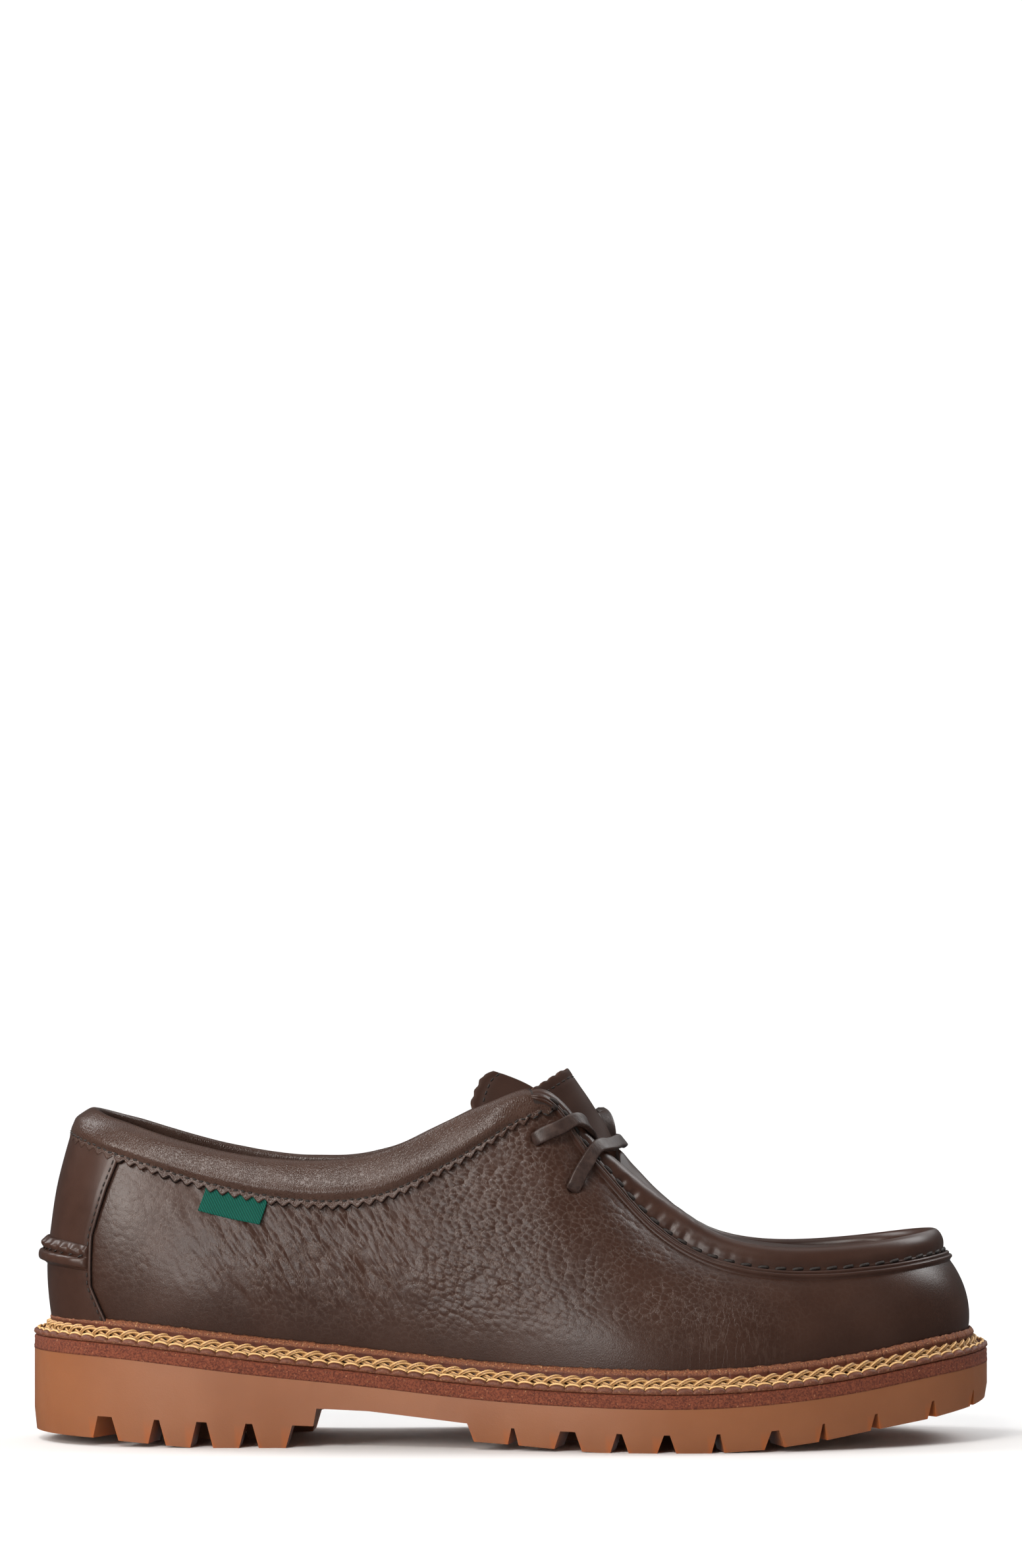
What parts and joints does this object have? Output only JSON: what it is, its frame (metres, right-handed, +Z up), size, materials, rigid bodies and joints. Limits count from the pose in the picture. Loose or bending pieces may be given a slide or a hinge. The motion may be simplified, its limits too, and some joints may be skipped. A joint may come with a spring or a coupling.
{
  "type": "moc toe shoe",
  "caption": "Right leather moc toe lace-up shoe with a raised apron seam, padded cuff, blank side label, storm welt and lugged rubber sole.",
  "frame": {"origin": "centre of the shoe's bounding box on the floor that it stands on", "axes": "+X towards the toe, +Y towards the inner side of the foot, +Z up"},
  "size_m": [0.302, 0.1085, 0.1172],
  "materials": {
    "outsole": "satin gum rubber, honey brown",
    "midsole": "rough cut edge, red-brown",
    "welt": "smooth face with a raw bevel, red-brown",
    "welt_braid": "waxed braided thread, tan",
    "insole": "smooth lining leather, tan",
    "upper": "tumbled grain, satin, dark brown",
    "collar_binding": "soft fine grain, satin, dark brown",
    "back_strap": "smooth, satin, dark brown",
    "heel_tab": "puckered seam, satin, dark brown",
    "tongue": "soft grain, satin, dark brown",
    "lace": "rawhide lace, satin, dark brown",
    "label_tab": "woven, matt, green, blank"
  },
  "bodies": {
    "root": {"outsole": "outsole", "midsole": "midsole", "welt": "welt", "welt_braid": "welt_braid", "insole": "insole", "upper": "upper", "collar_binding": "collar_binding", "back_strap": "back_strap", "heel_tab": "heel_tab", "tongue": "tongue", "lace": "lace", "label_tab": "label_tab"}
  },
  "joints": []
}
